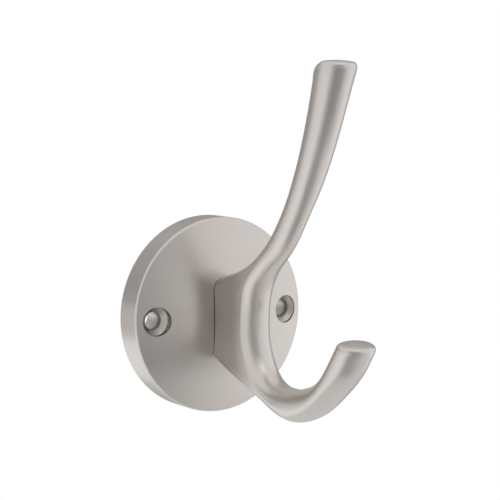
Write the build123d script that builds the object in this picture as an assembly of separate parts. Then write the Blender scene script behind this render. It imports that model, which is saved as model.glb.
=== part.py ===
"""Double utility hook for a wall: a domed round back plate, a cast hook and the screw that joins them.

Millimetres. The origin is the centre of the plate's back face, on the wall. The hook stands out towards -Y,
+Z is up and +X is to the right of someone who faces the wall.
"""
import os
from math import cos, dist, pi, radians, sin, sqrt, tan

from build123d import *
from scipy.interpolate import CubicSpline, PchipInterpolator

# Back plate
PLATE_DIA = 50.0
RIM_DEPTH = 7.3
DOME_RISE = 3.7
EDGE_ROUND = 0.7
PLATE_WALL = 2.4

# Countersunk holes for two wall screws, on a level line
HOLE_SPACING = 39.0
HOLE_DIA = 4.5
SINK_DIA = 7.1
SINK_LAND = 1.0
SINK_ANGLE = 90.0
BOSS_WALL = 2.7

# Fixing screw, driven from behind into the hook's foot
SCREW_DIA = 4.0
SCREW_LENGTH = 14.0
HEAD_DIA = 8.0
HEAD_HEIGHT = 2.8
HEAD_CHAMFER = 0.8
DRIVE_SPAN = 4.2
DRIVE_SLOT = 0.9
DRIVE_DEPTH = 1.6
POINT_CHAMFER = 0.5
SCREW_SEAT_THICK = 6.0
HUB_WALL = 2.6
SHANK_CLEARANCE = 0.2
HEAD_CLEARANCE = 0.4
POINT_CLEARANCE = 1.0
DRILL_ANGLE = 118.0

# Hook, side view: reach is measured out from the crown of the plate, height from the plate's centre
ARM_TIP_REACH = 44.5
ARM_TIP_HEIGHT = 63.9
ARM_TIP_LEAN = 19.5
ARM_TIP_CUT = 6.0
ARM_MID_REACH = 35.8
ARM_MID_HEIGHT = 40.5
NECK_REACH = 28.5
NECK_HEIGHT = 27.5
ARM_ROOT_REACH = 22.9
ARM_ROOT_HEIGHT = 20.0
ARM_ROOT_LEAN = 40.0
SHOULDER_TOP_REACH = 14.6
SHOULDER_TOP_HEIGHT = 16.4
SHOULDER_FRONT_REACH = 20.9
SHOULDER_FRONT_HEIGHT = 14.3
BAR_REACH = 11.35
SLING_FRONT_REACH = 23.3
SLING_FRONT_HEIGHT = -13.7
SLING_UNDER_REACH = 18.0
SLING_UNDER_HEIGHT = -18.6
SEAT_REACH = 29.2
SEAT_HEIGHT = -17.65
PRONG_MID_REACH = 46.1
PRONG_MID_HEIGHT = -8.9
PRONG_TIP_REACH = 52.1
PRONG_TIP_HEIGHT = 0.1
PRONG_TIP_LEAN = 15.0
PRONG_TIP_CUT = 14.0

# Hook, sections
FOOT_WIDTH = 8.0
FOOT_HEIGHT = 20.2
FOOT_SINK = 4.0
SEAM_GAP = 0.18
SEAM_INSET = 0.5
WEB_TOP_ROUND = 4.2
WEB_HEEL_ROUND = 2.2
BAR_WIDTH = 8.6
BAR_THICK = 6.6
NECK_WIDTH = 6.3
NECK_THICK = 6.2
SHOULDER_WIDTH = 7.2
ARM_TIP_WIDTH = 9.8
ARM_TIP_THICK = 8.4
SEAT_WIDTH = 9.5
PRONG_TIP_WIDTH = 9.8
SLING_WIDTH = 8.5
SEAT_THICK = 8.1
PRONG_THICK = 6.1
PRONG_TIP_THICK = 7.6
ROUND_SHARE = 0.46

# Hook, rounding of the two ends
ARM_BACK_ROUND = 3.0
ARM_FRONT_ROUND = 1.3
PRONG_INNER_ROUND = 1.5
PRONG_OUTER_ROUND = 1.1

# Hook, number of stations
RIM_STEPS = 4
ARM_STEPS = 4
PRONG_STEPS = 3
STATION_STEPS = 3

# Web rungs between the foot and the bar
CORNER_FRONT_HEIGHT = 9.0
CORNER_SET_OUT = 1.8
CORNER_RISE = 1.5
CORNER_REACH = 4.4
HEEL_FRONT_HEIGHT = 9.6
HEEL_SET_OUT = 2.5
HEEL_DROP = 1.8
HEEL_REACH = 1.9
FAN_HEIGHT = 4.4
FAN_SET_OUT = 0.3
FAN_TUCK = 2.4

# Worked-out places
PLATE_RADIUS = PLATE_DIA / 2
CROWN = RIM_DEPTH + DOME_RISE
DOME_RADIUS = (PLATE_RADIUS ** 2 + DOME_RISE ** 2) / (2 * DOME_RISE)
DOME_CENTRE = CROWN - DOME_RADIUS
HOLE_X = HOLE_SPACING / 2
HEAD_SEAT = CROWN - SCREW_SEAT_THICK
TAP_DEPTH = SCREW_LENGTH - SCREW_SEAT_THICK + POINT_CLEARANCE
BAR_FRONT = BAR_REACH + BAR_THICK / 2

# Share of a quarter ellipse's reach that its curve's handles take, and the points of one curve
ROUND_HANDLE = 4 / 3 * (sqrt(2) - 1)
CURVE_POINTS = 4


def dome_depth(radius):
    """Distance from the wall to the plate's front face at a distance from its centre."""
    return DOME_CENTRE + sqrt(DOME_RADIUS ** 2 - radius ** 2)


def along_wall_axis(x, start, end, radius, end_radius=None):
    """Cylinder or cone square to the wall, between two distances from it."""
    middle = Plane(origin=(x, -(start + end) / 2, 0), x_dir=(1, 0, 0), z_dir=(0, -1, 0))
    if end_radius is None:
        return middle * Cylinder(radius, end - start)
    return middle * Cone(radius, end_radius, end - start)


def under_dome(radius, dome_radius):
    """Round solid on the wall with a flat back and a spherical front."""
    dome = Pos(0, -DOME_CENTRE, 0) * Sphere(dome_radius)
    return along_wall_axis(0, 0, DOME_CENTRE + dome_radius, radius) & dome


def plate_blank():
    """The plate's outer form, without holes or hollow: a dome on a disc with a rounded front edge."""
    dome_share = DOME_RADIUS / (DOME_RADIUS - EDGE_ROUND)
    round_centre = PLATE_RADIUS - EDGE_ROUND
    round_height = sqrt((DOME_RADIUS - EDGE_ROUND) ** 2 - round_centre ** 2)
    side_end = (PLATE_RADIUS, -(DOME_CENTRE + round_height))
    dome_end = (round_centre * dome_share, -(DOME_CENTRE + round_height * dome_share))
    outline = [
        Line((0, 0), (PLATE_RADIUS, 0)),
        Line((PLATE_RADIUS, 0), side_end),
        TangentArc(side_end, dome_end, tangent=(0, -1)),
        Line(dome_end, (0, dome_end[1])),
        Line((0, dome_end[1]), (0, 0)),
    ]
    disc = revolve(make_face(outline), Axis.Y)
    return disc + under_dome(dome_end[0], DOME_RADIUS)


def plate_hollow():
    """Space behind the plate's wall, round the hub and the two screw bosses."""
    hollow = under_dome(PLATE_RADIUS - PLATE_WALL, DOME_RADIUS - PLATE_WALL)
    hollow -= along_wall_axis(0, 0, CROWN, HEAD_DIA / 2 + HEAD_CLEARANCE + HUB_WALL)
    for x in (-HOLE_X, HOLE_X):
        hollow -= along_wall_axis(x, 0, CROWN, SINK_DIA / 2 + BOSS_WALL)
    return hollow


def wall_screw_hole(x):
    """Countersunk hole: a short straight land, a cone and a through bore."""
    land = dome_depth(HOLE_X) - SINK_LAND
    cone_depth = (SINK_DIA - HOLE_DIA) / 2 / tan(radians(SINK_ANGLE / 2))
    bore = along_wall_axis(x, 0, CROWN, HOLE_DIA / 2)
    cone = along_wall_axis(x, land - cone_depth, land, HOLE_DIA / 2, SINK_DIA / 2)
    return bore + cone + along_wall_axis(x, land, CROWN, SINK_DIA / 2)


def make_back_plate():
    """Hollow cast plate with its two wall-screw holes and the recess for the fixing screw."""
    plate = plate_blank() - plate_hollow()
    for x in (-HOLE_X, HOLE_X):
        plate -= wall_screw_hole(x)
    plate -= along_wall_axis(0, 0, HEAD_SEAT, HEAD_DIA / 2 + HEAD_CLEARANCE)
    return plate - along_wall_axis(0, 0, CROWN, SCREW_DIA / 2 + SHANK_CLEARANCE)


def make_fixing_screw():
    """Cheese-head machine screw with a cross recess."""
    head = along_wall_axis(0, HEAD_SEAT - HEAD_HEIGHT, HEAD_SEAT, HEAD_DIA / 2)
    crown_edge = head.edges().filter_by(Plane.XZ).sort_by(Axis.Y)[-1]
    head = chamfer(crown_edge, HEAD_CHAMFER)
    shank = along_wall_axis(0, HEAD_SEAT, HEAD_SEAT + SCREW_LENGTH, SCREW_DIA / 2)
    point_edge = shank.edges().filter_by(Plane.XZ).sort_by(Axis.Y)[0]
    screw = head + chamfer(point_edge, POINT_CHAMFER)
    drive = Pos(0, -(HEAD_SEAT - HEAD_HEIGHT + DRIVE_DEPTH / 2), 0)
    screw -= drive * Box(DRIVE_SPAN, DRIVE_DEPTH, DRIVE_SLOT)
    return screw - drive * Box(DRIVE_SLOT, DRIVE_DEPTH, DRIVE_SPAN)


def section(station):
    """Closed section of the casting, rounded at a back and a front point of the side view."""
    back_reach, back_height, front_reach, front_height = station[:4]
    back_width, front_width, back_share, front_share = station[4:]
    origin = Vector(0, -(CROWN + back_reach), back_height)
    span = Vector(0, back_reach - front_reach, front_height - back_height)
    front = span.length
    front_side = front_width / 2
    back_side = back_width / 2
    front_round = front * front_share
    back_round = front * back_share
    third = (front - front_round - back_round) / 3
    half = [
        (0, front),
        (front_side * ROUND_HANDLE, front),
        (front_side, front - front_round * (1 - ROUND_HANDLE)),
        (front_side, front - front_round),
        (front_side, front - front_round - third),
        (back_side, back_round + third),
        (back_side, back_round),
        (back_side, back_round * (1 - ROUND_HANDLE)),
        (back_side * ROUND_HANDLE, 0),
        (0, 0),
    ]
    other_half = [(-x, y) for x, y in reversed(half)]
    knots = range(0, len(half) - 1, CURVE_POINTS - 1)
    edges = [Bezier(*outline[knot:knot + CURVE_POINTS]) for outline in (half, other_half) for knot in knots]
    plane = Plane(origin=origin, x_dir=(1, 0, 0), z_dir=Vector(1, 0, 0).cross(span))
    return plane * make_face(edges)


def round_station(back, front, width):
    """Station of a free arm: a near-elliptical section between two points."""
    return (*back, *front, width, width, ROUND_SHARE, ROUND_SHARE)


def bar_station(centre, normal, width, thick):
    """Station of a free arm, square to a unit normal in the side view."""
    half = thick / 2
    back = (centre[0] - normal[0] * half, centre[1] - normal[1] * half)
    front = (centre[0] + normal[0] * half, centre[1] + normal[1] * half)
    return round_station(back, front, width)


def spine_station(spine, place, width, thick, facing):
    """Station of a free arm, square to its spine at a place along it."""
    point = spine @ place
    ahead = spine % place
    return bar_station((point.X, point.Y), (facing * ahead.Y, -facing * ahead.X), width, thick)


def web_station(back, front, back_round):
    """Station through the flat-sided web, from the foot side to the front of the bar."""
    span = dist(back, front)
    return (*back, *front, FOOT_WIDTH, BAR_WIDTH, back_round / span, BAR_THICK / 2 / span)


def lean_direction(lean):
    """Direction of an arm that leans outwards from upright by an angle."""
    return (sin(radians(lean)), cos(radians(lean)))


def end_stations(tip, lean, cut, width, thick, rounds, facing):
    """Stations of a flat-cut end, from the full section out to the end face, rounded more on one side."""
    ahead = lean_direction(lean)
    across = (cos(radians(cut)), -sin(radians(cut)))
    slant = cos(radians(lean - cut))
    half = thick / 2 / slant
    stations = []
    for step in range(RIM_STEPS + 1):
        angle = pi / 2 * step / RIM_STEPS
        corners = []
        for side, edge_round in zip((-1, 1), rounds):
            out = side * (half - edge_round * (1 - cos(angle)))
            down = edge_round * (1 - sin(angle)) / slant
            reach = tip[0] + across[0] * out - ahead[0] * down
            height = tip[1] + across[1] * out - ahead[1] * down
            corners.append((reach, height))
        inset = sum(rounds) / 2 * (1 - cos(angle))
        stations.append(round_station(*corners[::facing], width - 2 * inset))
    return stations


def arm_end():
    """Stations of the upper arm's end."""
    tip = (ARM_TIP_REACH, ARM_TIP_HEIGHT)
    rounds = (ARM_BACK_ROUND, ARM_FRONT_ROUND)
    return end_stations(tip, ARM_TIP_LEAN, ARM_TIP_CUT, ARM_TIP_WIDTH, ARM_TIP_THICK, rounds, 1)


def prong_end():
    """Stations of the lower prong's end."""
    tip = (PRONG_TIP_REACH, PRONG_TIP_HEIGHT)
    rounds = (PRONG_INNER_ROUND, PRONG_OUTER_ROUND)
    return end_stations(tip, PRONG_TIP_LEAN, PRONG_TIP_CUT, PRONG_TIP_WIDTH, PRONG_TIP_THICK, rounds, -1)


def arm_stations():
    """Stations of the upper arm, from under its tip down past the neck to its root."""
    root = (ARM_ROOT_REACH, ARM_ROOT_HEIGHT)
    neck = (NECK_REACH, NECK_HEIGHT)
    middle = (ARM_MID_REACH, ARM_MID_HEIGHT)
    tip = (ARM_TIP_REACH, ARM_TIP_HEIGHT)
    ends = [lean_direction(ARM_ROOT_LEAN), lean_direction(ARM_TIP_LEAN)]
    spine = Spline(root, neck, middle, tip, tangents=ends)
    neck_place = spine.param_at_point(Vector(*neck))
    stations = []
    for step in reversed(range(ARM_STEPS)):
        flare = step / ARM_STEPS
        width = NECK_WIDTH + (ARM_TIP_WIDTH - NECK_WIDTH) * flare
        thick = NECK_THICK + (ARM_TIP_THICK - NECK_THICK) * flare
        place = neck_place + (1 - neck_place) * flare
        stations.append(spine_station(spine, place, width, thick, 1))
    return stations + [spine_station(spine, 0.0, NECK_WIDTH, NECK_THICK, 1)]


def web_stations():
    """Stations that fan round the throat, from the shoulder past the foot to the sling of the lower prong."""
    shoulder_top = (SHOULDER_TOP_REACH, SHOULDER_TOP_HEIGHT)
    shoulder_front = (SHOULDER_FRONT_REACH, SHOULDER_FRONT_HEIGHT)
    corner_height = FOOT_HEIGHT / 2 + CORNER_RISE
    heel_height = -(FOOT_HEIGHT / 2 + HEEL_DROP)
    tucked_height = FOOT_HEIGHT / 2 - FAN_TUCK
    sling_under = (SLING_UNDER_REACH, SLING_UNDER_HEIGHT)
    sling_front = (SLING_FRONT_REACH, SLING_FRONT_HEIGHT)
    corner_front = (BAR_FRONT + CORNER_SET_OUT, CORNER_FRONT_HEIGHT)
    heel_front = (BAR_FRONT + HEEL_SET_OUT, -HEEL_FRONT_HEIGHT)
    fan_front = BAR_FRONT + FAN_SET_OUT
    return [
        round_station(shoulder_top, shoulder_front, SHOULDER_WIDTH),
        web_station((CORNER_REACH, corner_height), corner_front, WEB_TOP_ROUND),
        web_station((-FOOT_SINK, tucked_height), (fan_front, FAN_HEIGHT), WEB_TOP_ROUND),
        web_station((-FOOT_SINK, 0), (BAR_FRONT, 0), WEB_TOP_ROUND),
        web_station((-FOOT_SINK, -tucked_height), (fan_front, -FAN_HEIGHT), WEB_HEEL_ROUND),
        web_station((HEEL_REACH, heel_height), heel_front, WEB_HEEL_ROUND),
        round_station(sling_under, sling_front, SLING_WIDTH),
    ]


def prong_stations():
    """Stations of the lower prong, from the seat at its lowest point to under its tip."""
    seat = (SEAT_REACH, SEAT_HEIGHT)
    middle = (PRONG_MID_REACH, PRONG_MID_HEIGHT)
    tip = (PRONG_TIP_REACH, PRONG_TIP_HEIGHT)
    spine = Spline(seat, middle, tip, tangents=[(1, 0), lean_direction(PRONG_TIP_LEAN)])
    stations = [spine_station(spine, 0.0, SEAT_WIDTH, SEAT_THICK, -1)]
    for step in range(1, PRONG_STEPS):
        place = step / PRONG_STEPS
        width = SEAT_WIDTH + (PRONG_TIP_WIDTH - SEAT_WIDTH) * place
        thick = PRONG_THICK + (PRONG_TIP_THICK - PRONG_THICK) * (step - 1) / (PRONG_STEPS - 1)
        stations.append(spine_station(spine, place, width, thick, -1))
    return stations


def casting_stations():
    """Closely spaced stations of the whole casting, on smooth curves through its main ones."""
    upper_end = arm_end()
    lower_end = prong_end()
    stations = upper_end[:1] + arm_stations() + web_stations() + prong_stations() + lower_end[:1]
    middles = [((back + front) / 2, (low + high) / 2) for back, low, front, high, *sizes in stations]
    knots = [0.0]
    for before, after in zip(middles, middles[1:]):
        knots.append(knots[-1] + dist(before, after))
    side_view = CubicSpline(knots, [station[:4] for station in stations])
    sizes = PchipInterpolator(knots, [station[4:] for station in stations])
    places = [ARM_BACK_ROUND, knots[-1] - PRONG_INNER_ROUND] + knots[1:-1]
    for before, after in zip(knots, knots[1:]):
        places += [before + (after - before) * step / STATION_STEPS for step in range(1, STATION_STEPS)]
    body = [(*side_view(place), *sizes(place)) for place in sorted(places)]
    return upper_end[::-1] + body + lower_end


def foot_pad():
    """Pad under the foot that seats on the plate, set in from the foot's edge to leave a fine open seam."""
    outline = SlotOverall(FOOT_HEIGHT - 2 * SEAM_INSET, FOOT_WIDTH - 2 * SEAM_INSET, rotation=90)
    level = Plane(origin=(0, -CROWN, 0), x_dir=(1, 0, 0), z_dir=(0, -1, 0))
    return extrude(level * outline, FOOT_SINK, both=True) - plate_blank()


def make_hook():
    """One casting: foot, web, upper arm and lower prong, with a tapped blind hole in the foot."""
    casting = loft([section(station) for station in casting_stations()])
    casting -= under_dome(PLATE_RADIUS, DOME_RADIUS + SEAM_GAP)
    casting += foot_pad()
    bottom = CROWN + TAP_DEPTH
    drill_tip = SCREW_DIA / 2 / tan(radians(DRILL_ANGLE / 2))
    casting -= along_wall_axis(0, 0, bottom, SCREW_DIA / 2)
    return casting - along_wall_axis(0, bottom, bottom + drill_tip, SCREW_DIA / 2, 0)


def main():
    os.makedirs("parts", exist_ok=True)
    parts = {
        "back_plate": make_back_plate(),
        "hook": make_hook(),
        "fixing_screw": make_fixing_screw(),
    }
    for name, shape in parts.items():
        export_step(shape, f"parts/{name}.step")


main()
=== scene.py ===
import math

import bmesh
import bpy
from mathutils import Matrix, Vector


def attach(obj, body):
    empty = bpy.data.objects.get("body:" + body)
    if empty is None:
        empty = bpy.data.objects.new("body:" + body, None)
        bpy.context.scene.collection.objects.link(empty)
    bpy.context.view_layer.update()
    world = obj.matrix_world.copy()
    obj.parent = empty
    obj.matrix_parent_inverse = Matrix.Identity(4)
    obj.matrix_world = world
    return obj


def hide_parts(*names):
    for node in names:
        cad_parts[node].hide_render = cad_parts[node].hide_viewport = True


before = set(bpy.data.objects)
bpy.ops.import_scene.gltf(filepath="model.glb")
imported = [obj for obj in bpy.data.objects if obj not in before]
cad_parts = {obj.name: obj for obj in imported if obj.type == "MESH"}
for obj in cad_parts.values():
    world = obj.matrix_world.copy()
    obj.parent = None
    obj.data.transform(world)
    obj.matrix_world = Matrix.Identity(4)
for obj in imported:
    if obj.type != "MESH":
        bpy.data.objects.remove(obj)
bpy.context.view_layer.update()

bl_info = {
    "name": "Utility hook",
    "version": (1, 0, 0),
    "blender": (4, 5, 0),
    "location": "View3D > Sidebar > Hook",
    "description": "Makes and finishes a wall hook, and sets it in a plain studio",
    "category": "Object",
}

BODY = "root"
PLATE = "back_plate"
HOOK = "hook"
HOOK_PIECE = "hook_casting"
SCREW = "fixing_screw"
MM = 0.001
LENGTH = {"unit": "LENGTH", "subtype": "DISTANCE", "precision": 5}
HALF_TURN = 180.0
WHITE = (1.0, 1.0, 1.0, 1.0)


# Shader maths

class Value:
    """A number socket that takes part in Python sums: each operator adds one Math node."""

    def __init__(self, shader, socket):
        self.shader = shader
        self.socket = socket

    def math(self, operation, *others, swap=False):
        terms = [self, *others]
        if swap:
            terms.reverse()
        sockets = {i: term for i, term in enumerate(terms)}
        return self.shader.value("ShaderNodeMath", {"operation": operation}, sockets)

    def __add__(self, other):
        return self.math("ADD", other)

    __radd__ = __add__

    def __sub__(self, other):
        return self.math("SUBTRACT", other)

    def __rsub__(self, other):
        return self.math("SUBTRACT", other, swap=True)

    def __mul__(self, other):
        return self.math("MULTIPLY", other)

    __rmul__ = __mul__

    def __truediv__(self, other):
        return self.math("DIVIDE", other)

    def __rtruediv__(self, other):
        return self.math("DIVIDE", other, swap=True)

    def __pow__(self, other):
        return self.math("POWER", other)

    def __neg__(self):
        return self * -1.0

    def __abs__(self):
        return self.math("ABSOLUTE")

    def above(self, other):
        return self.math("MAXIMUM", other)

    def step(self, low, high):
        """0 at low and 1 at high, with a smooth rise between them."""
        settings = {"interpolation_type": "SMOOTHSTEP"}
        sockets = {"Value": self, "From Min": low, "From Max": high}
        return self.shader.value("ShaderNodeMapRange", settings, sockets)

    def step_at(self, size, shares):
        """A step between two shares of a size."""
        low, high = shares
        return self.step(low * size, high * size)


class Shader:
    """Empties one node tree and fills it again."""

    def __init__(self, tree):
        self.tree = tree
        tree.nodes.clear()

    def node(self, kind, settings=None, sockets=None):
        """Adds a node: its settings first, then the values or links of its sockets."""
        node = self.tree.nodes.new(kind)
        for name, setting in (settings or {}).items():
            if name == "stops":
                self.set_stops(node.color_ramp, setting)
            else:
                setattr(node, name, setting)
        for name, source in (sockets or {}).items():
            self.feed(node.inputs[name], source)
        return node

    def set_stops(self, ramp, stops):
        while len(ramp.elements) < len(stops):
            ramp.elements.new(1.0)
        for element, (place, colour) in zip(ramp.elements, stops):
            element.position = place
            element.color = colour

    def feed(self, socket, source):
        if isinstance(source, Value):
            source = source.socket
        if isinstance(source, bpy.types.NodeSocket):
            self.tree.links.new(source, socket)
        else:
            socket.default_value = source

    def value(self, kind, settings=None, sockets=None):
        return Value(self, self.node(kind, settings, sockets).outputs[0])

    def place(self):
        """The object's own coordinates, as a vector and as three numbers."""
        vector = self.node("ShaderNodeTexCoord").outputs["Object"]
        split = self.node("ShaderNodeSeparateXYZ", None, {0: vector})
        return vector, [Value(self, socket) for socket in split.outputs]

    def noise(self, vector, scale, detail, roughness=0.5):
        sockets = {"Vector": vector, "Scale": scale, "Detail": detail, "Roughness": roughness}
        return self.value("ShaderNodeTexNoise", None, sockets)

    def mix_colour(self, share, first, second):
        settings = {"data_type": "RGBA", "blend_type": "MIX"}
        return self.node("ShaderNodeMix", settings, {0: share, 6: first, 7: second}).outputs[2]


def new_material(name):
    material = bpy.data.materials.new(name)
    material.use_nodes = True
    return material, Shader(material.node_tree)


def finish_surface(shader, fixed, varied):
    """Ends a material in one Principled shader."""
    surface = shader.node("ShaderNodeBsdfPrincipled", None, {**fixed, **varied})
    shader.node("ShaderNodeOutputMaterial", None, {"Surface": surface.outputs[0]})


def shade(colour, share):
    return (colour[0] * share, colour[1] * share, colour[2] * share, 1.0)


def two_tone(shader, share, colour, tones):
    """A colour that goes from its first tone to its second as the share rises."""
    first, second = tones
    return shader.mix_colour(share, shade(colour, first), shade(colour, second))


# Settings

class CastingFinish(bpy.types.PropertyGroup):
    """The finish of the back plate and the hook."""

    colour: bpy.props.FloatVectorProperty(
        name="Colour", description="Colour of the satin plating",
        subtype="COLOR", size=3, min=0.0, max=1.0, default=(0.690, 0.650, 0.616))
    roughness: bpy.props.FloatProperty(
        name="Roughness", description="How far the satin finish blurs what it mirrors",
        subtype="FACTOR", min=0.0, max=1.0, default=0.29)
    grain: bpy.props.FloatProperty(
        name="Grain", description="Width of one grain of the satin finish",
        default=0.22 * MM, **LENGTH)
    grain_depth: bpy.props.FloatProperty(
        name="Grain depth", description="Height of the grain above its hollows",
        default=0.0012 * MM, **LENGTH)
    # Painted shade: the recess beside the foot is painted darker, and its finish is unchanged
    recess: bpy.props.FloatProperty(
        name="Recess",
        description="Depth in front of the plate's crown that buffing left duller, beside the foot",
        default=14.0 * MM, **LENGTH)
    # Share of the plating's colour kept in the painted shade of the recess
    recess_shade_tone: bpy.props.FloatProperty(
        name="Recess tone", description="How much light the duller metal in the recess gives back",
        subtype="FACTOR", min=0.0, max=1.0, default=0.74)
    plate_radius: bpy.props.FloatProperty(
        name="Plate radius", description="Radius of the plate at its back",
        default=25.0 * MM, **LENGTH)
    rim_depth: bpy.props.FloatProperty(
        name="Rim depth", description="Depth of the plate at its rim",
        default=7.3 * MM, **LENGTH)
    dome_rise: bpy.props.FloatProperty(
        name="Dome rise", description="Height of the plate's crown above its rim",
        default=3.7 * MM, **LENGTH)
    hole_spacing: bpy.props.FloatProperty(
        name="Hole spacing", description="Distance between the wall-screw holes",
        default=39.0 * MM, **LENGTH)
    sink_radius: bpy.props.FloatProperty(
        name="Countersink radius", description="Radius of a wall-screw hole at its mouth",
        default=3.55 * MM, **LENGTH)
    bore_radius: bpy.props.FloatProperty(
        name="Bore radius", description="Radius of a wall-screw hole behind its countersink",
        default=2.25 * MM, **LENGTH)
    sink_rings: bpy.props.FloatProperty(
        name="Countersink rings",
        description="Distance between the rings that the cutter left in the countersink",
        default=0.32 * MM, **LENGTH)
    skin: bpy.props.FloatProperty(
        name="Skin", description="Depth under the plate's face past which the cast back shows",
        default=1.3 * MM, **LENGTH)


class HookShape(bpy.types.PropertyGroup):
    """How far the lower U and the prong's end are moved from the shape of the solid."""

    throat_reach: bpy.props.FloatProperty(
        name="Throat reach",
        description="Distance from the wall to the centre that the lower U bends round",
        default=35.6 * MM, **LENGTH)
    throat_height: bpy.props.FloatProperty(
        name="Throat height", description="Height of the centre that the lower U bends round",
        default=11.9 * MM, **LENGTH)
    spine_radius: bpy.props.FloatProperty(
        name="Spine radius", description="Distance from that centre to the middle of the bar",
        default=29.9 * MM, **LENGTH)
    half_bar: bpy.props.FloatProperty(
        name="Half bar", description="Distance from the middle of the bar to its skin",
        default=3.6 * MM, **LENGTH)
    root_fill: bpy.props.FloatProperty(
        name="Root fill", description="Metal added inside the U at the prong's root",
        default=1.2 * MM, **LENGTH)
    root_angle: bpy.props.FloatProperty(
        name="Root angle",
        description="Turn round the throat from straight down to the prong's root",
        subtype="ANGLE", unit="ROTATION", default=math.radians(27.0))
    root_spread: bpy.props.FloatProperty(
        name="Root spread",
        description="Turn over which the fill and the trim run out, on each side",
        subtype="ANGLE", unit="ROTATION", default=math.radians(17.0))
    seat_dip: bpy.props.FloatProperty(
        name="Seat dip", description="Metal taken off inside the U at the seat, its lowest point",
        default=0.40 * MM, **LENGTH)
    seat_angle: bpy.props.FloatProperty(
        name="Seat angle", description="Turn round the throat from straight down to the seat",
        subtype="ANGLE", unit="ROTATION", default=math.radians(7.0))
    seat_spread: bpy.props.FloatProperty(
        name="Seat spread", description="Turn over which the dip runs out, on each side",
        subtype="ANGLE", unit="ROTATION", default=math.radians(23.0))
    belly_trim: bpy.props.FloatProperty(
        name="Belly trim", description="Metal taken off under the prong",
        default=0.55 * MM, **LENGTH)
    belly_angle: bpy.props.FloatProperty(
        name="Belly angle",
        description="Turn round the throat from straight down to the trim's middle",
        subtype="ANGLE", unit="ROTATION", default=math.radians(40.0))
    end_reach: bpy.props.FloatProperty(
        name="End reach",
        description="Distance from the wall to the inner edge of the prong's end face",
        default=60.1 * MM, **LENGTH)
    end_depth: bpy.props.FloatProperty(
        name="End depth",
        description="Depth below the plate's centre at which the end face's tilt has run out",
        default=6.0 * MM, **LENGTH)
    end_tilt: bpy.props.FloatProperty(
        name="End tilt", description="Slope by which the end face is dressed flatter",
        default=0.045)


class ScrewFinish(bpy.types.PropertyGroup):
    """The finish of the fixing screw."""

    colour: bpy.props.FloatVectorProperty(
        name="Colour", description="Colour of the zinc plating",
        subtype="COLOR", size=3, min=0.0, max=1.0, default=(0.60, 0.615, 0.63))
    roughness: bpy.props.FloatProperty(
        name="Roughness", description="How far the plating blurs what it mirrors",
        subtype="FACTOR", min=0.0, max=1.0, default=0.27)
    turning: bpy.props.FloatProperty(
        name="Turning marks",
        description="Distance between the rings that turning left on the head",
        default=0.18 * MM, **LENGTH)


class Studio(bpy.types.PropertyGroup):
    """The floor, the paper that the metal mirrors, the light and the camera."""

    floor_height: bpy.props.FloatProperty(
        name="Floor height", description="Height of the floor in the part's frame",
        default=-0.15, **LENGTH)
    floor_colour: bpy.props.FloatVectorProperty(
        name="Floor colour", description="Colour of the plain floor",
        subtype="COLOR", size=3, min=0.0, max=1.0, default=(0.86, 0.86, 0.86))
    ambient: bpy.props.FloatProperty(
        name="Ambient light", description="Strength of the even light from all sides",
        min=0.0, default=0.55)
    lamp_power: bpy.props.FloatProperty(
        name="Lamp power", description="Power of each soft lamp",
        subtype="POWER", unit="POWER", min=0.0, default=5.0)
    front_paper: bpy.props.FloatProperty(
        name="Front paper",
        description="Grey of the paper in front of the part, which the metal mirrors",
        subtype="FACTOR", min=0.0, max=1.0, default=0.40)
    dark_paper: bpy.props.FloatProperty(
        name="Dark paper",
        description="Grey of the dark strip on the floor in front of the part",
        subtype="FACTOR", min=0.0, max=1.0, default=0.27)
    back_paper: bpy.props.FloatProperty(
        name="Back paper", description="Grey of the paper behind the part",
        subtype="FACTOR", min=0.0, max=1.0, default=0.38)
    middle_paper: bpy.props.FloatProperty(
        name="Middle paper",
        description="Grey of the paper under the part and on the floor to its right",
        subtype="FACTOR", min=0.0, max=1.0, default=0.73)
    pale_paper: bpy.props.FloatProperty(
        name="Pale paper",
        description="Grey of the paper to the left of the part and above it",
        subtype="FACTOR", min=0.0, max=1.0, default=0.81)
    bright_paper: bpy.props.FloatProperty(
        name="Bright paper",
        description="Grey of the paper to the right of the part and on the floor to its left",
        subtype="FACTOR", min=0.0, max=1.0, default=0.96)
    panel_light: bpy.props.FloatProperty(
        name="Panel light",
        description="Strength of the soft panel high in front, where 1 is white",
        min=0.0, default=1.15)
    camera_azimuth: bpy.props.FloatProperty(
        name="Camera azimuth",
        description="Turn of the camera from straight in front, to the right",
        subtype="ANGLE", unit="ROTATION", default=math.radians(-34.6))
    camera_elevation: bpy.props.FloatProperty(
        name="Camera elevation", description="Height of the camera above level, as an angle",
        subtype="ANGLE", unit="ROTATION", default=math.radians(6.3))
    camera_distance: bpy.props.FloatProperty(
        name="Camera distance", description="Distance from the camera to the point it looks at",
        default=0.4, **LENGTH)
    aim_right: bpy.props.FloatProperty(
        name="Aim right",
        description="How far the aim lies to the right of the plate's centre, in the view",
        default=11.79 * MM, **LENGTH)
    aim_up: bpy.props.FloatProperty(
        name="Aim up",
        description="How far the aim lies above the plate's centre, in the view",
        default=15.81 * MM, **LENGTH)
    lens: bpy.props.FloatProperty(
        name="Lens", description="Focal length in millimetres on the camera's sensor",
        min=1.0, default=111.2)


# Hook

# Points this close are one point, and edges over this angle stay sharp
WELD = 0.0005 * MM
SHARP = math.radians(35.0)


def rise(value, low, high):
    """0 at low and 1 at high, with a smooth rise between them."""
    share = min(max((value - low) / (high - low), 0.0), 1.0)
    return share * share * (3.0 - 2.0 * share)


def swell(angle, middle, spread):
    """1 at a middle angle, with a smooth run-out to 0 on each side."""
    return rise(spread - abs(angle - middle), 0.0, spread)


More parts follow.
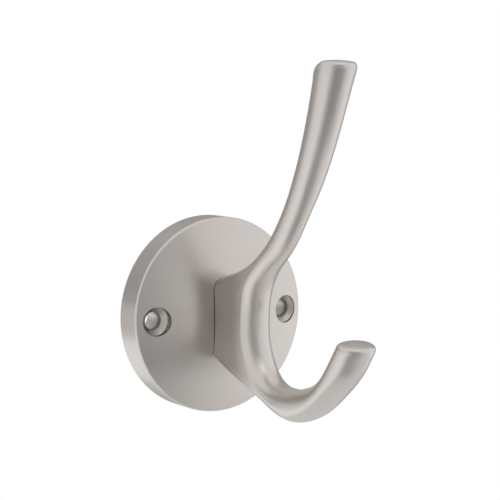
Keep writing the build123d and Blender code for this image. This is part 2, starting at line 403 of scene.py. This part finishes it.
def dress_prong(point, shape):
    """Place of a point of the casting after the lower U and the prong's end are dressed."""
    out = -point.y - shape.throat_reach
    down = shape.throat_height - point.z
    radius = math.hypot(out, down)
    angle = math.atan2(out, down)
    inside = rise(shape.spine_radius - radius, 0.0, shape.half_bar)
    outside = rise(radius - shape.spine_radius, 0.0, shape.half_bar)
    inward = shape.root_fill * inside * swell(angle, shape.root_angle, shape.root_spread)
    inward -= shape.seat_dip * inside * swell(angle, shape.seat_angle, shape.seat_spread)
    inward += shape.belly_trim * outside * swell(angle, shape.belly_angle, shape.root_spread)
    share = 1.0 - inward / radius
    at_end = rise(point.z, -shape.end_depth, 0.0)
    at_end *= rise(-point.y, shape.throat_reach, shape.end_reach)
    lift = at_end * shape.end_tilt * (-point.y - shape.end_reach)
    return Vector((
        point.x,
        -shape.throat_reach - out * share,
        shape.throat_height - down * share + lift,
    ))


def make_hook(shape):
    """A merged copy of the hook's solid, with its lower U and prong's end dressed."""
    casting = bmesh.new()
    casting.from_mesh(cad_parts[HOOK].data)
    bmesh.ops.remove_doubles(casting, verts=casting.verts, dist=WELD)
    for vert in casting.verts:
        if vert.co.z < shape.throat_height:
            vert.co = dress_prong(vert.co, shape)
    for face in casting.faces:
        face.smooth = True
    for edge in casting.edges:
        edge.smooth = edge.calc_face_angle(0.0) < SHARP
    mesh = bpy.data.meshes.new(HOOK_PIECE)
    casting.to_mesh(mesh)
    casting.free()
    hook = bpy.data.objects.new(HOOK_PIECE, mesh)
    bpy.context.scene.collection.objects.link(hook)
    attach(hook, BODY)
    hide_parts(HOOK)


# Materials

# Noise of the metal
NOISE_MEAN = 0.5
CLOUD_SCALE = 60.0
COARSE_DETAIL = 3.0
FINE_DETAIL = 2.0
GRAIN_SOFTNESS = 0.6
PITS_PER_GRAIN = 0.45

# Shares of the skin's depth, of the plate's radius and of the recess where the finish and the
# painted shade beside the foot change
SKIN_FADE = (1.0, 1.5)
RIM_FADE = (0.93, 0.95)
RECESS_FADE = (0.55, 1.0)
RECESS_SIDES = (0.75, 1.1)
CROWN_FADE = 0.02

# Shares of a hole's radius where the finish, the painted shade and the painted light change, and
# depths under the plate's face
SINK_FADE = (1.015, 1.04)
SINK_EDGE = (0.95, 0.985)
BORE_FADE = (1.02, 1.08)
EDGE_DEPTHS = (0.35 * MM, 0.75 * MM)
SINK_DEPTH = 0.85 * MM
MOUTH_DEPTHS = (2.0 * MM, 0.9 * MM)

# Tones, as shares of the plating's colour
PLATED_TONES = (0.965, 1.03)
CAST_TONES = (0.60, 0.80)
SINK_TONES = (0.66, 1.10)
# Bare zinc deeper in a bore, made paler still with painted light that stands in for light from
# behind the plate
BORE_ZINC_AND_LIGHT_TONES = (0.85, 1.40)
# Painted shade at a bore's mouth
MOUTH_SHADE_TONE = 0.45
# Painted shade in a thin ring at a countersink's edge
EDGE_SHADE_TONE = 0.38

# What the cloud, the grain and the cast skin add to the roughness, and heights in grain depths
CLOUD_ROUGHNESS = 0.05
GRAIN_ROUGHNESS = 0.06
CAST_ROUGHNESS = 0.16
PIT_HEIGHT = 4.0
RING_HEIGHT = 2.5

# The fixing screw
STEEL_CLOUD_SCALE = 400.0
STEEL_TONES = (0.92, 1.05)
STEEL_CLOUD_ROUGHNESS = 0.10
STEEL_RING_ROUGHNESS = 0.03
STEEL_BUMP = 0.5
STEEL_RING_HEIGHT = 0.01 * MM

# Distances from the part over which the floor goes over to white
FLOOR_FADE = (0.20, 0.34)


def satin_nickel(finish):
    """Plated castings with a fine satin grain, painted shade beside the foot and a duller cast skin
    in the hollow back.

    The countersinks show the cutter's rings and a thin ring of painted shade at their edge.
    Each bore has painted shade at its mouth, and deeper in is paler bare zinc with painted light.
    """
    material, shader = new_material("satin_nickel")
    vector, (x, y, z) = shader.place()
    cloud = shader.noise(vector, CLOUD_SCALE, COARSE_DETAIL)
    grain = shader.noise(vector, 1.0 / finish.grain, FINE_DETAIL, GRAIN_SOFTNESS)
    pits = shader.noise(vector, PITS_PER_GRAIN / finish.grain, COARSE_DETAIL, GRAIN_SOFTNESS)

    # The hollow back, and the painted shade in the recess beside the foot
    from_axis = (x * x + z * z) ** 0.5
    across = from_axis / finish.plate_radius
    face_depth = finish.rim_depth + finish.dome_rise * (1.0 - across * across)
    under_face = face_depth + y
    cast = under_face.step_at(finish.skin, SKIN_FADE) * (1.0 - across.step(*RIM_FADE))
    crown = finish.rim_depth + finish.dome_rise
    before_crown = (-y - crown) / finish.recess
    shade_beside_foot = 1.0 - before_crown.step(*RECESS_FADE)
    shade_beside_foot = shade_beside_foot * (before_crown + CROWN_FADE).step(0.0, CROWN_FADE)
    shade_beside_foot = shade_beside_foot * (1.0 - (abs(z) / finish.recess).step(*RECESS_SIDES))

    # The wall-screw holes
    aside = abs(x) - 0.5 * finish.hole_spacing
    from_hole = (aside * aside + z * z) ** 0.5
    in_sink = 1.0 - from_hole.step_at(finish.sink_radius, SINK_FADE)
    in_bore = 1.0 - from_hole.step_at(finish.bore_radius, BORE_FADE)
    cone = in_sink - in_bore
    # A thin ring of painted shade at each countersink's edge, near the plate's face
    sink_edge_shade = in_sink * from_hole.step_at(finish.sink_radius, SINK_EDGE)
    sink_edge_shade = sink_edge_shade * (1.0 - under_face.step(*EDGE_DEPTHS))
    # Painted shade at the front of each bore, nearest the plate's face
    bore_top = finish.rim_depth - SINK_DEPTH
    mouth_low, mouth_high = (bore_top - depth for depth in MOUTH_DEPTHS)
    bore_mouth_shade = in_bore * (-y).step(mouth_low, mouth_high)

    # Colour, roughness and grain
    tone = 0.5 * cloud + 0.5 * grain
    bright = two_tone(shader, tone, finish.colour, PLATED_TONES)
    skin = two_tone(shader, pits, finish.colour, CAST_TONES)
    sunk = two_tone(shader, pits, finish.colour, SINK_TONES)
    # Bare zinc with painted light, deeper in the bores
    bore_zinc_and_light = two_tone(shader, pits, finish.colour, BORE_ZINC_AND_LIGHT_TONES)
    # Painted shade beside the foot: a darker copy of the plating's colour
    recess_shade_colour = shade(finish.colour, finish.recess_shade_tone)
    colour = shader.mix_colour(shade_beside_foot, bright, recess_shade_colour)
    colour = shader.mix_colour(cast, colour, skin)
    colour = shader.mix_colour(in_sink, colour, sunk)
    # Bare zinc and painted light in the bores
    colour = shader.mix_colour(in_bore, colour, bore_zinc_and_light)
    # Painted shade at the bore's mouth
    colour = shader.mix_colour(bore_mouth_shade, colour, shade(finish.colour, MOUTH_SHADE_TONE))
    # The ring of painted shade at the countersink's edge
    colour = shader.mix_colour(sink_edge_shade, colour, shade(finish.colour, EDGE_SHADE_TONE))
    roughness = finish.roughness + CLOUD_ROUGHNESS * (cloud - NOISE_MEAN)
    roughness = roughness + GRAIN_ROUGHNESS * (grain - NOISE_MEAN) + CAST_ROUGHNESS * cast
    rings = (from_hole * (2.0 * math.pi / finish.sink_rings)).math("SINE")
    height = grain + cast * (PIT_HEIGHT * pits - grain) + RING_HEIGHT * cone * rings
    bump = shader.node("ShaderNodeBump", None,
                       {"Strength": 1.0, "Distance": finish.grain_depth, "Height": height})
    finish_surface(shader, {"Metallic": 1.0},
                   {"Base Color": colour, "Roughness": roughness, "Normal": bump.outputs[0]})
    return material


def plated_steel(finish):
    """The fixing screw: bright zinc with the rings that turning leaves."""
    material, shader = new_material("screw_steel")
    vector, (x, _, z) = shader.place()
    from_axis = (x * x + z * z) ** 0.5
    rings = (from_axis * (2.0 * math.pi / finish.turning)).math("SINE")
    cloud = shader.noise(vector, STEEL_CLOUD_SCALE, COARSE_DETAIL)
    colour = two_tone(shader, cloud, finish.colour, STEEL_TONES)
    roughness = finish.roughness + STEEL_CLOUD_ROUGHNESS * (cloud - NOISE_MEAN)
    roughness = roughness + STEEL_RING_ROUGHNESS * rings
    bump = shader.node("ShaderNodeBump", None, {
        "Strength": STEEL_BUMP, "Distance": STEEL_RING_HEIGHT, "Height": rings + cloud})
    finish_surface(shader, {"Metallic": 1.0},
                   {"Base Color": colour, "Roughness": roughness, "Normal": bump.outputs[0]})
    return material


def floor_cloth(studio):
    """A pale floor that keeps the part's shadow, and goes over to white further out."""
    material, shader = new_material("floor_cloth")
    _, (x, y, _) = shader.place()
    from_part = (x * x + y * y) ** 0.5
    seen = seen_directly(shader) * from_part.step(*FLOOR_FADE)
    colour = shade(studio.floor_colour, 1.0)
    cloth = shader.node("ShaderNodeBsdfDiffuse", None, {"Color": colour})
    white = shader.node("ShaderNodeEmission", None, {"Color": WHITE, "Strength": 1.0})
    mix = shader.node("ShaderNodeMixShader", None,
                      {0: seen, 1: cloth.outputs[0], 2: white.outputs[0]})
    shader.node("ShaderNodeOutputMaterial", None, {"Surface": mix.outputs[0]})
    return material


def seen_directly(shader):
    """1 for a ray from the camera, from a mirror or through glass."""
    path = shader.node("ShaderNodeLightPath")
    camera = Value(shader, path.outputs["Is Camera Ray"])
    glossy = Value(shader, path.outputs["Is Glossy Ray"])
    through = Value(shader, path.outputs["Is Transmission Ray"])
    return camera.above(glossy).above(through)


def screen_cloth(screen):
    """Paper whose grey follows the compass angle round the part."""
    material, shader = new_material(screen.name)
    _, (x, y, _) = shader.place()
    angle = x.math("ARCTAN2", -y) * (HALF_TURN / math.pi)
    turn = (angle - screen.centre + 3.0 * HALF_TURN).math("MODULO", 2.0 * HALF_TURN) - HALF_TURN
    stops = [(screen.share(at - screen.centre), shade(WHITE, grey)) for at, grey in screen.greys]
    ramp = shader.node("ShaderNodeValToRGB", {"stops": stops}, {0: screen.share(turn)})
    glow = shader.node("ShaderNodeEmission", None, {"Color": ramp.outputs[0], "Strength": 1.0})
    shader.node("ShaderNodeOutputMaterial", None, {"Surface": glow.outputs[0]})
    return material


# Stage

# Reaches and heights of the studio's paper in metres, and elevations in degrees
SCREEN_RADIUS = 1.2
PANEL_RADIUS = 0.95 * SCREEN_RADIUS
SHEET_LIFT = 1.0 * MM
UNDER_REACH = 0.09
NEAR_REACH = 0.20
FAR_REACH = 0.28
SHEET_REACH = 0.45
CARD_REACH = 0.20
CARD_LOW, CARD_HIGH = 0.012, 0.11
SWEEP_TOP = 38.0
PANEL_LOW, PANEL_HIGH = 42.0, 60.0
ZENITH = 90.0

# Faces of a screen, from its foot to its top and from side to side
ROWS = 24
COLUMNS = 72

FLOOR_HALF_WIDTH = 30.0
SENSOR_WIDTH = 36.0

# Soft lamps by azimuth and elevation in degrees
LAMPS = {"lamp_left": (-70.0, 30.0), "lamp_right": (65.0, 25.0)}
LAMP_DISTANCE = 0.9
LAMP_SIZE = 0.7


def bowl(low, high, radius=SCREEN_RADIUS):
    """Side view of a round screen between two elevations, as (reach, height) points."""
    angles = [math.radians(low + (high - low) * row / ROWS) for row in range(ROWS + 1)]
    return [(radius * math.cos(angle), radius * math.sin(angle)) for angle in angles]


def flat(inner, outer, height):
    """Side view of a level sheet between two reaches."""
    return [(inner, height), (outer, height)]


def all_round(grey):
    """One grey on every side."""
    return (-HALF_TURN, grey), (HALF_TURN, grey)


class Screen:
    """A studio screen swept round the part: its side view, and its greys by compass angle.

    Compass angles are in degrees from straight in front of the part, to the right.
    """

    def __init__(self, name, profile, greys):
        self.name = name
        self.profile = profile
        self.greys = greys
        self.centre = 0.5 * (greys[0][0] + greys[-1][0])
        self.half_width = 0.5 * (greys[-1][0] - greys[0][0])

    def share(self, turn):
        """Share of the way from the left side to the right, at a turn from the middle."""
        return (turn + self.half_width) / (2.0 * self.half_width)


def studio_screens(studio):
    """The paper that the metal mirrors.

    Sheets lie on the floor, a sweep stands behind them under a roof, a card hangs behind the
    part to its left, and a panel shines from high in front.
    """
    floor = studio.floor_height + SHEET_LIFT
    upper = floor + SHEET_LIFT
    horizon = math.degrees(math.asin(floor / SCREEN_RADIUS))
    pale, bright, middle = studio.pale_paper, studio.bright_paper, studio.middle_paper
    front, back, dark = studio.front_paper, studio.back_paper, studio.dark_paper
    light = studio.panel_light
    return (
        Screen("under_sheet", flat(0.0, UNDER_REACH, floor), all_round(middle)),
        Screen("left_sheet", flat(UNDER_REACH, SHEET_REACH, upper),
               ((-180, bright), (-60, bright))),
        Screen("near_sheet", flat(UNDER_REACH, NEAR_REACH, floor),
               ((-60, bright), (-32, front), (-2, front), (45, middle), (180, middle))),
        Screen("far_sheet", flat(FAR_REACH, SHEET_REACH, upper),
               ((-60, bright), (-50, bright), (-16, dark), (18, dark), (50, pale))),
        Screen("sweep", [(NEAR_REACH, floor), *bowl(horizon, SWEEP_TOP)],
               ((-180, back), (-158, back), (-138, pale), (-56, pale), (-28, front), (-2, front),
                (28, pale), (72, bright), (88, bright), (108, back), (180, back))),
        Screen("roof", bowl(SWEEP_TOP, ZENITH), all_round(pale)),
        Screen("card", [(CARD_REACH, CARD_LOW), (CARD_REACH, CARD_HIGH)],
               ((-162, back), (-136, back), (-101, pale))),
        Screen("panel", bowl(PANEL_LOW, PANEL_HIGH, PANEL_RADIUS), ((-4, light), (30, light))),
    )


def compass(azimuth, elevation):
    """The unit vector at an azimuth to the right of straight in front, and an elevation."""
    level = math.cos(elevation)
    return Vector((math.sin(azimuth) * level, -math.cos(azimuth) * level, math.sin(elevation)))


def show_only_in_mirrors(screen):
    screen.visible_camera = False
    screen.visible_diffuse = False
    screen.visible_shadow = False


def make_screen(screen):
    """Sweeps a screen's side view round the upright axis."""
    mesh = bpy.data.meshes.new(screen.name)
    shell = bmesh.new()
    rows = []
    for reach, height in screen.profile:
        points = []
        for column in range(COLUMNS + 1):
            turn = screen.half_width * (2.0 * column / COLUMNS - 1.0)
            way = compass(math.radians(screen.centre + turn), 0.0)
            points.append(shell.verts.new(reach * way + Vector((0.0, 0.0, height))))
        rows.append(points)
    for lower, upper in zip(rows, rows[1:]):
        for i in range(COLUMNS):
            shell.faces.new((lower[i], lower[i + 1], upper[i + 1], upper[i]))
    shell.to_mesh(mesh)
    shell.free()
    mesh.materials.append(screen_cloth(screen))
    thing = bpy.data.objects.new(screen.name, mesh)
    bpy.context.scene.collection.objects.link(thing)
    show_only_in_mirrors(thing)


def make_floor(studio):
    """A wide level floor."""
    mesh = bpy.data.meshes.new("floor")
    sheet = bmesh.new()
    bmesh.ops.create_grid(sheet, x_segments=1, y_segments=1, size=FLOOR_HALF_WIDTH)
    bmesh.ops.translate(sheet, verts=sheet.verts, vec=(0.0, 0.0, studio.floor_height))
    sheet.to_mesh(mesh)
    sheet.free()
    mesh.materials.append(floor_cloth(studio))
    floor = bpy.data.objects.new("floor", mesh)
    bpy.context.scene.collection.objects.link(floor)


def make_lamp(studio, name, azimuth, elevation):
    """A soft square lamp that faces the part."""
    light = bpy.data.lights.new(name, "AREA")
    light.shape = "SQUARE"
    light.size = LAMP_SIZE
    light.energy = studio.lamp_power
    lamp = bpy.data.objects.new(name, light)
    outward = compass(math.radians(azimuth), math.radians(elevation))
    lamp.location = LAMP_DISTANCE * outward
    lamp.rotation_euler = outward.to_track_quat("Z", "Y").to_euler()
    lamp.visible_glossy = False
    bpy.context.scene.collection.objects.link(lamp)


def light_world(studio):
    """White where the camera or a mirror sees it, and a weaker even light elsewhere."""
    scene = bpy.context.scene
    world = bpy.data.worlds.new("studio_world")
    world.use_nodes = True
    scene.world = world
    shader = Shader(world.node_tree)
    strength = studio.ambient + (1.0 - studio.ambient) * seen_directly(shader)
    glow = shader.node("ShaderNodeBackground", None, {"Color": WHITE, "Strength": strength})
    shader.node("ShaderNodeOutputWorld", None, {"Surface": glow.outputs[0]})
    scene.view_settings.view_transform = "Standard"


def make_camera(studio):
    """The camera, aimed beside the plate's centre so that the whole part is in view."""
    back = compass(studio.camera_azimuth, studio.camera_elevation)
    right = Vector((0.0, 0.0, 1.0)).cross(back).normalized()
    up = back.cross(right)
    aim = studio.aim_right * right + studio.aim_up * up
    data = bpy.data.cameras.new("camera")
    data.lens = studio.lens
    data.sensor_width = SENSOR_WIDTH
    camera = bpy.data.objects.new("camera", data)
    turn = Matrix((right, up, back)).transposed().to_4x4()
    camera.matrix_world = Matrix.Translation(aim + studio.camera_distance * back) @ turn
    bpy.context.scene.collection.objects.link(camera)
    bpy.context.scene.camera = camera


# Operators

class HOOK_OT_make_hook(bpy.types.Operator):
    """Make the hook's casting from its solid, with the lower U and the prong's end dressed"""

    bl_idname = "hook.make_hook"
    bl_label = "Make hook"

    def execute(self, context):
        make_hook(context.scene.hook_shape)
        return {"FINISHED"}


class HOOK_OT_finish_castings(bpy.types.Operator):
    """Give the back plate and the hook their satin finish"""

    bl_idname = "hook.finish_castings"
    bl_label = "Finish castings"

    def execute(self, context):
        material = satin_nickel(context.scene.hook_castings)
        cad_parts[PLATE].material_slots[0].material = material
        bpy.data.objects[HOOK_PIECE].data.materials.append(material)
        return {"FINISHED"}


class HOOK_OT_finish_screw(bpy.types.Operator):
    """Give the fixing screw its plating"""

    bl_idname = "hook.finish_screw"
    bl_label = "Finish fixing screw"

    def execute(self, context):
        material = plated_steel(context.scene.hook_screw)
        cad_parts[SCREW].material_slots[0].material = material
        return {"FINISHED"}


class HOOK_OT_set_stage(bpy.types.Operator):
    """Make the floor, the studio screens, the lamps and the camera"""

    bl_idname = "hook.set_stage"
    bl_label = "Set stage"

    def execute(self, context):
        studio = context.scene.hook_studio
        make_floor(studio)
        for screen in studio_screens(studio):
            make_screen(screen)
        for name, (azimuth, elevation) in LAMPS.items():
            make_lamp(studio, name, azimuth, elevation)
        light_world(studio)
        make_camera(studio)
        return {"FINISHED"}


class HOOK_PT_sidebar(bpy.types.Panel):
    """The hook's shape, finishes and stage"""

    bl_idname = "HOOK_PT_sidebar"
    bl_label = "Utility hook"
    bl_space_type = "VIEW_3D"
    bl_region_type = "UI"
    bl_category = "Hook"

    def draw(self, context):
        for group, operator in GROUPS:
            settings = getattr(context.scene, group)
            box = self.layout.box()
            for name in settings.bl_rna.properties.keys():
                if name not in ("rna_type", "name"):
                    box.prop(settings, name)
            box.operator(operator.bl_idname)


GROUPS = (
    ("hook_shape", HOOK_OT_make_hook),
    ("hook_castings", HOOK_OT_finish_castings),
    ("hook_screw", HOOK_OT_finish_screw),
    ("hook_studio", HOOK_OT_set_stage),
)
SETTINGS = {
    "hook_shape": HookShape,
    "hook_castings": CastingFinish,
    "hook_screw": ScrewFinish,
    "hook_studio": Studio,
}
CLASSES = (*SETTINGS.values(), *(operator for group, operator in GROUPS), HOOK_PT_sidebar)


def register():
    for item in CLASSES:
        bpy.utils.register_class(item)
    for name, settings in SETTINGS.items():
        setattr(bpy.types.Scene, name, bpy.props.PointerProperty(type=settings))


def unregister():
    for name in SETTINGS:
        delattr(bpy.types.Scene, name)
    for item in reversed(CLASSES):
        bpy.utils.unregister_class(item)


def main():
    register()
    bpy.ops.hook.make_hook()
    bpy.ops.hook.finish_castings()
    bpy.ops.hook.finish_screw()
    bpy.ops.hook.set_stage()


if __name__ == "__main__":
    main()
